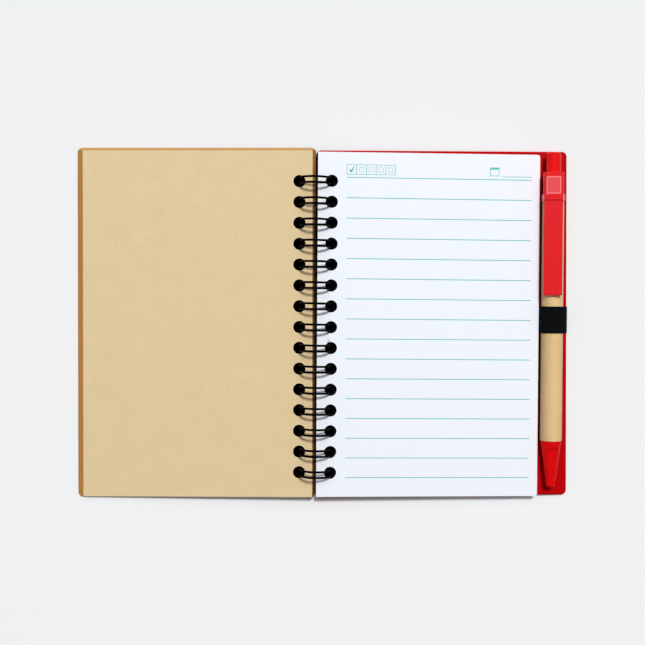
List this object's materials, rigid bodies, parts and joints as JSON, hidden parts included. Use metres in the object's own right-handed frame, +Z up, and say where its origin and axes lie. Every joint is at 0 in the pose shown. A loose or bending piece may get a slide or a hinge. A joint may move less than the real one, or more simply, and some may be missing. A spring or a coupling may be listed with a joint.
{
  "type": "spiral notebook",
  "caption": "Open wire-bound notebook with a brown front cover, lined pages and a wider red back cover that holds a click pen in an elastic loop.",
  "frame": {"origin": "under the middle of the open notebook, on the table it lies on", "axes": "+X to the right across the spine, +Y along the spine towards the top of the pages, +Z up from the table"},
  "size_m": [0.2014, 0.1429, 0.0142],
  "materials": {
    "brown_board": "matt covering paper",
    "kraft_paper": "uncoated",
    "white_paper": "uncoated, ruled",
    "red_board": "satin covering paper",
    "black_wire": "black nylon coat",
    "black_elastic": "woven",
    "kraft_tube": "wound paper",
    "red_plastic": "gloss",
    "white_plastic": "satin",
    "clear_plastic": "clear tube over blue ink",
    "brass_tip": "turned",
    "steel_ball": "polished",
    "spring_steel": "drawn wire"
  },
  "bodies": {
    "pages": {"page_block": "white_paper", "binding_wire": "black_wire"},
    "front": {"front_cover": "brown_board", "front_endpaper": "kraft_paper"},
    "back": {"back_cover": "red_board", "pen_loop": "black_elastic", "pen_barrel": "kraft_tube", "pen_nose": "red_plastic", "pen_top": "red_plastic", "return_spring": "spring_steel"},
    "clicker": {"push_button": "red_plastic", "cam_rotor": "white_plastic", "refill_tube": "clear_plastic", "refill_tip": "brass_tip", "writing_ball": "steel_ball"}
  },
  "joints": [
    {"name": "front_cover_hinge", "type": "hinge", "parent": "pages", "child": "front", "pos_m": [-0.00387, 0, 0.00665], "axis": [0, 1, 0], "range_deg": [-3, 177.5]},
    {"name": "back_cover_hinge", "type": "hinge", "parent": "pages", "child": "back", "pos_m": [-0.00387, 0, 0.00665], "axis": [0, 1, 0], "range_deg": [0, 38]},
    {"name": "pen_click", "type": "slide", "parent": "back", "child": "clicker", "axis": [-0.0045, -1, 0.0001], "range_m": [0, 0.0045], "stiffness_N_per_m": 300, "springref_m": -0.003, "deforming": ["return_spring"]}
  ]
}
